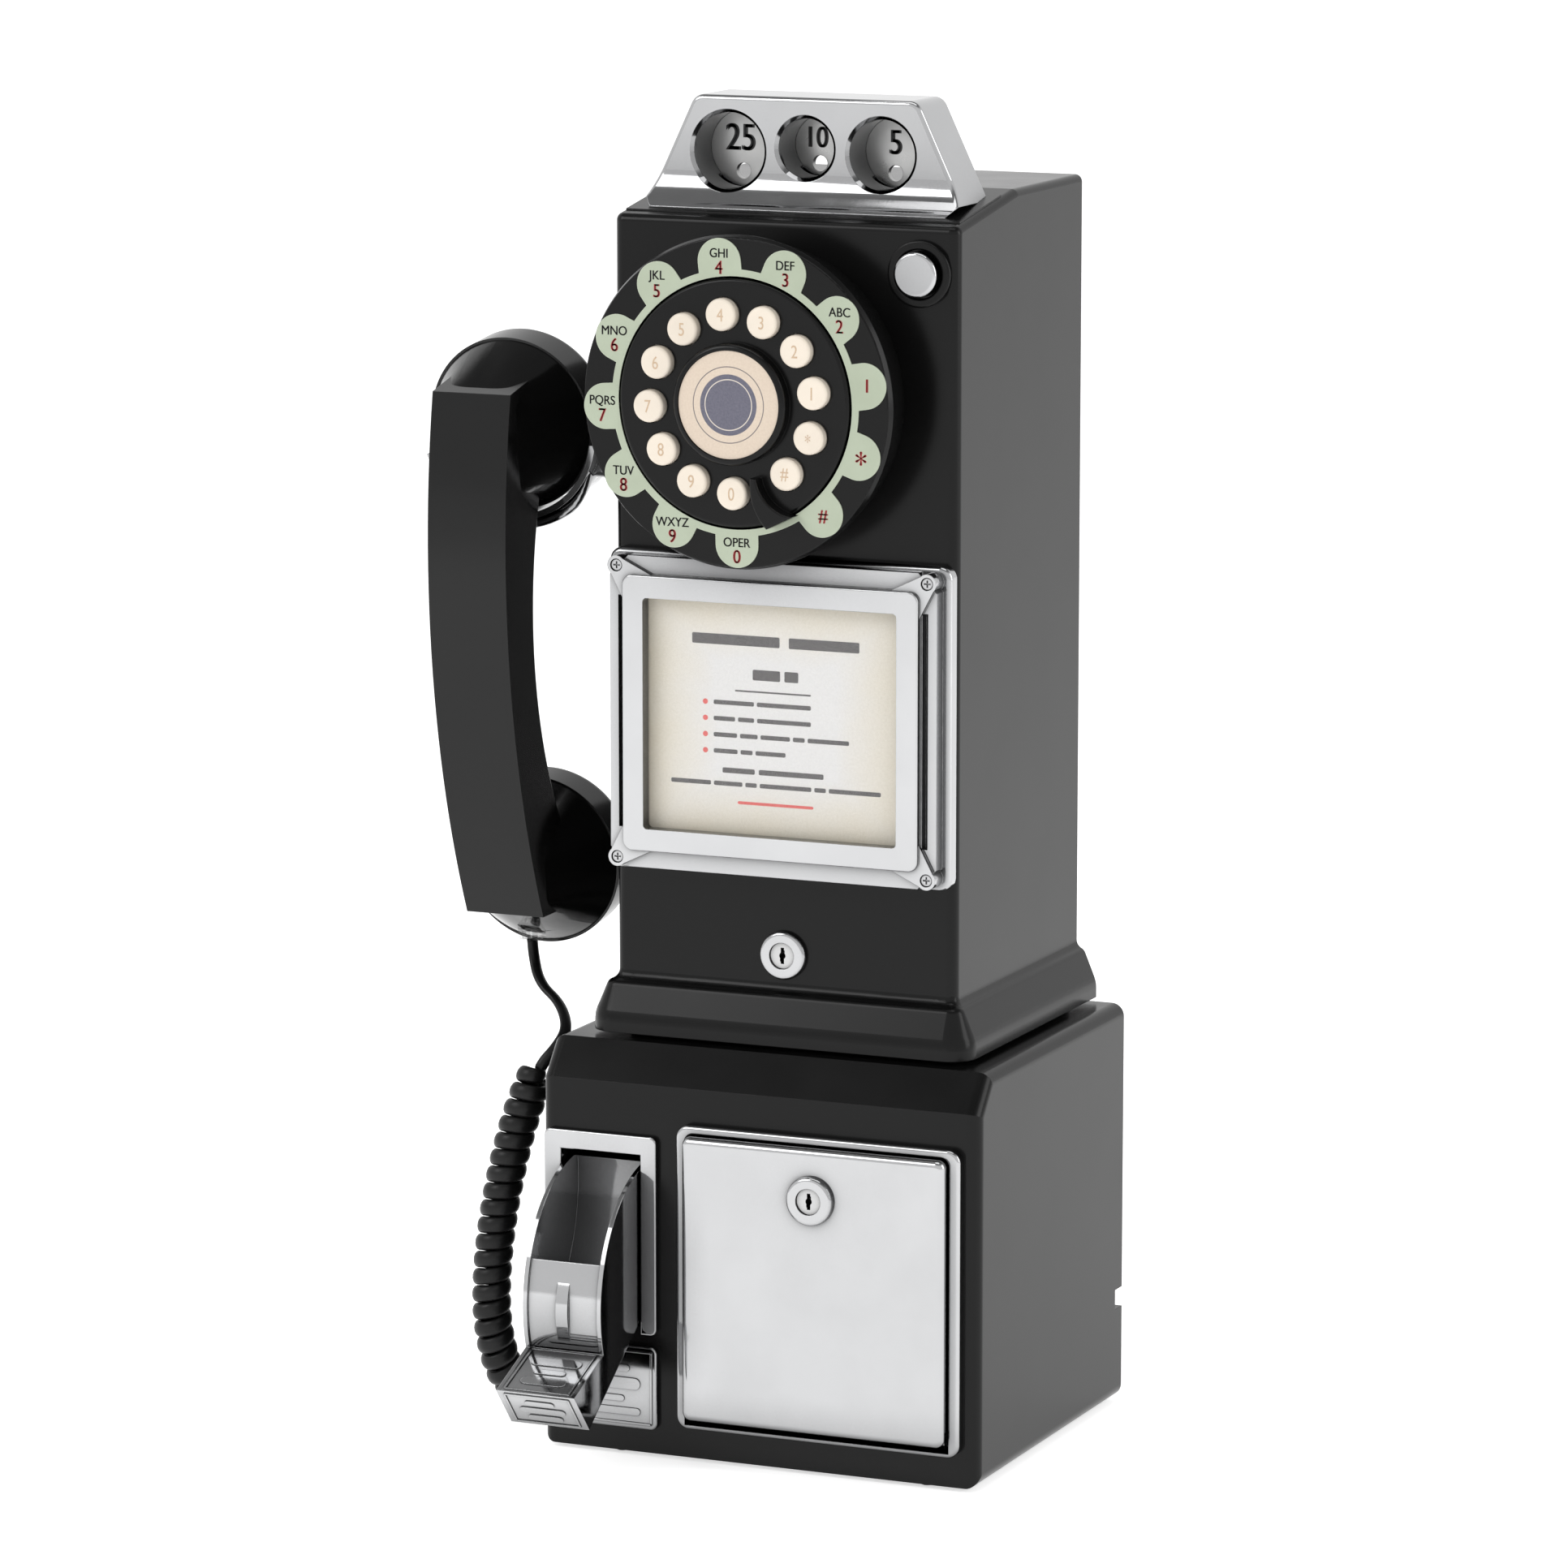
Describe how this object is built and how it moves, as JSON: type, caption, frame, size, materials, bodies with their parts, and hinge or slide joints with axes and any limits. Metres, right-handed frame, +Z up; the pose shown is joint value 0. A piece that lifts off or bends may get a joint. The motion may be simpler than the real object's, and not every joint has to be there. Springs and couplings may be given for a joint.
{
  "type": "wall payphone",
  "caption": "Wall-mounted push-button payphone with coin tubes on top, a round dial-style keypad, instruction card, coin bank door, coin return bucket and a side-hung handset on a curly cord",
  "frame": {"origin": "Middle of the back's lower edge: on the wall plane, at the height of the surface it stands on", "axes": "+X to the right as the user faces it, +Y into the wall, +Z up"},
  "size_m": [0.225, 0.192, 0.466],
  "materials": {
    "black_shell": "satin black moulding",
    "back_plastic": "fine matte grain",
    "handset_plastic": "polished black",
    "chrome": "bright plating",
    "gauge_metal": "satin plate with black numerals",
    "lock_metal": "turned face",
    "steel": "zinc plated",
    "inner_metal": "plain sheet",
    "green_ring": "pale green printed ring",
    "label_card": "cream label with a dark blue centre",
    "ivory_key": "moulded ivory",
    "rubber_mat": "silicone",
    "circuit_board": "solder mask",
    "dark_plastic": "moulded",
    "card_paper": "cream printed card",
    "clear_window": "clear sheet",
    "clear_plug": "clear moulding",
    "cord_black": "smooth jacket"
  },
  "bodies": {
    "root": {"back_plate": "back_plastic", "back_screws": "steel", "bank_bezel": "chrome", "base_jack": "dark_plastic", "base_plug": "clear_plug", "bucket_pin": "steel", "card": "card_paper", "card_frame": "chrome", "card_window": "clear_window", "center_label": "label_card", "coin_bin": "inner_metal", "coin_chute": "inner_metal", "coin_head": "chrome", "cord_coil": "cord_black", "cord_lead_bottom": "cord_black", "cord_lead_top": "cord_black", "dial_housing": "black_shell", "frame_screws": "chrome", "gauge_plates": "gauge_metal", "hook_pin": "steel", "hook_switch": "dark_plastic", "key_mat": "rubber_mat", "keypad_board": "circuit_board", "keypad_plate": "black_shell", "line_jack": "dark_plastic", "lower_housing": "black_shell", "main_board": "circuit_board", "number_ring": "green_ring", "redial_bezel": "black_shell", "redial_switch": "dark_plastic", "return_bezel": "chrome", "return_plate": "chrome", "ringer": "dark_plastic", "upper_housing": "black_shell", "upper_lock_body": "chrome"},
    "key_0": {"key_0": "ivory_key"},
    "key_1": {"key_1": "ivory_key"},
    "key_2": {"key_2": "ivory_key"},
    "key_3": {"key_3": "ivory_key"},
    "key_4": {"key_4": "ivory_key"},
    "key_5": {"key_5": "ivory_key"},
    "key_6": {"key_6": "ivory_key"},
    "key_7": {"key_7": "ivory_key"},
    "key_8": {"key_8": "ivory_key"},
    "key_9": {"key_9": "ivory_key"},
    "key_hash": {"key_hash": "ivory_key"},
    "key_star": {"key_star": "ivory_key"},
    "redial_button": {"redial_button": "chrome"},
    "upper_lock_plug": {"upper_lock_plug": "lock_metal"},
    "bank_door": {"bank_door": "chrome", "door_lock_body": "chrome"},
    "door_lock_plug": {"door_lock_plug": "lock_metal"},
    "coin_bucket": {"coin_bucket": "chrome"},
    "hook": {"hook_lever": "chrome"},
    "handset": {"handset_handle": "handset_plastic", "ear_cap": "handset_plastic", "mouth_cap": "handset_plastic", "receiver_capsule": "dark_plastic", "transmitter_capsule": "dark_plastic", "handset_plug": "clear_plug"}
  },
  "joints": [
    {"name": "key_0_press", "type": "slide", "parent": "root", "child": "key_0", "axis": [0, 1, 0], "range_m": [0, 0.0014], "stiffness_N_per_m": 300, "springref_m": -0.001},
    {"name": "key_1_press", "type": "slide", "parent": "root", "child": "key_1", "axis": [0, 1, 0], "range_m": [0, 0.0014], "stiffness_N_per_m": 300, "springref_m": -0.001},
    {"name": "key_2_press", "type": "slide", "parent": "root", "child": "key_2", "axis": [0, 1, 0], "range_m": [0, 0.0014], "stiffness_N_per_m": 300, "springref_m": -0.001},
    {"name": "key_3_press", "type": "slide", "parent": "root", "child": "key_3", "axis": [0, 1, 0], "range_m": [0, 0.0014], "stiffness_N_per_m": 300, "springref_m": -0.001},
    {"name": "key_4_press", "type": "slide", "parent": "root", "child": "key_4", "axis": [0, 1, 0], "range_m": [0, 0.0014], "stiffness_N_per_m": 300, "springref_m": -0.001},
    {"name": "key_5_press", "type": "slide", "parent": "root", "child": "key_5", "axis": [0, 1, 0], "range_m": [0, 0.0014], "stiffness_N_per_m": 300, "springref_m": -0.001},
    {"name": "key_6_press", "type": "slide", "parent": "root", "child": "key_6", "axis": [0, 1, 0], "range_m": [0, 0.0014], "stiffness_N_per_m": 300, "springref_m": -0.001},
    {"name": "key_7_press", "type": "slide", "parent": "root", "child": "key_7", "axis": [0, 1, 0], "range_m": [0, 0.0014], "stiffness_N_per_m": 300, "springref_m": -0.001},
    {"name": "key_8_press", "type": "slide", "parent": "root", "child": "key_8", "axis": [0, 1, 0], "range_m": [0, 0.0014], "stiffness_N_per_m": 300, "springref_m": -0.001},
    {"name": "key_9_press", "type": "slide", "parent": "root", "child": "key_9", "axis": [0, 1, 0], "range_m": [0, 0.0014], "stiffness_N_per_m": 300, "springref_m": -0.001},
    {"name": "key_hash_press", "type": "slide", "parent": "root", "child": "key_hash", "axis": [0, 1, 0], "range_m": [0, 0.0014], "stiffness_N_per_m": 300, "springref_m": -0.001},
    {"name": "key_star_press", "type": "slide", "parent": "root", "child": "key_star", "axis": [0, 1, 0], "range_m": [0, 0.0014], "stiffness_N_per_m": 300, "springref_m": -0.001},
    {"name": "redial_press", "type": "slide", "parent": "root", "child": "redial_button", "axis": [0, 1, 0], "range_m": [0, 0.0024], "stiffness_N_per_m": 250, "springref_m": -0.001},
    {"name": "handset_lift", "type": "slide", "parent": "root", "child": "handset", "axis": [0, 0, 1], "range_m": [0, 0.06]},
    {"name": "hook_swing", "type": "hinge", "parent": "root", "child": "hook", "pos_m": [-0.05, -0.076, 0.338], "axis": [0, 1, 0], "range_deg": [0, 5]},
    {"name": "bucket_close", "type": "hinge", "parent": "root", "child": "coin_bucket", "pos_m": [-0.05775, -0.1245, 0.0575], "axis": [-1, 0, 0], "range_deg": [0, 48]},
    {"name": "bank_door_swing", "type": "hinge", "parent": "root", "child": "bank_door", "pos_m": [0.02325, -0.1403, 0.019], "axis": [1, 0, 0], "range_deg": [0, 85]},
    {"name": "door_lock_turn", "type": "hinge", "parent": "bank_door", "child": "door_lock_plug", "pos_m": [0.0233, -0.14, 0.0983], "axis": [0, 1, 0], "range_deg": [0, 90]},
    {"name": "upper_lock_turn", "type": "hinge", "parent": "root", "child": "upper_lock_plug", "pos_m": [0, -0.108, 0.1753], "axis": [0, 1, 0], "range_deg": [0, 90]}
  ],
  "couplings": [
    {"joint": "hook_swing", "follows": "handset_lift", "rad_per_m": 1.45}
  ]
}
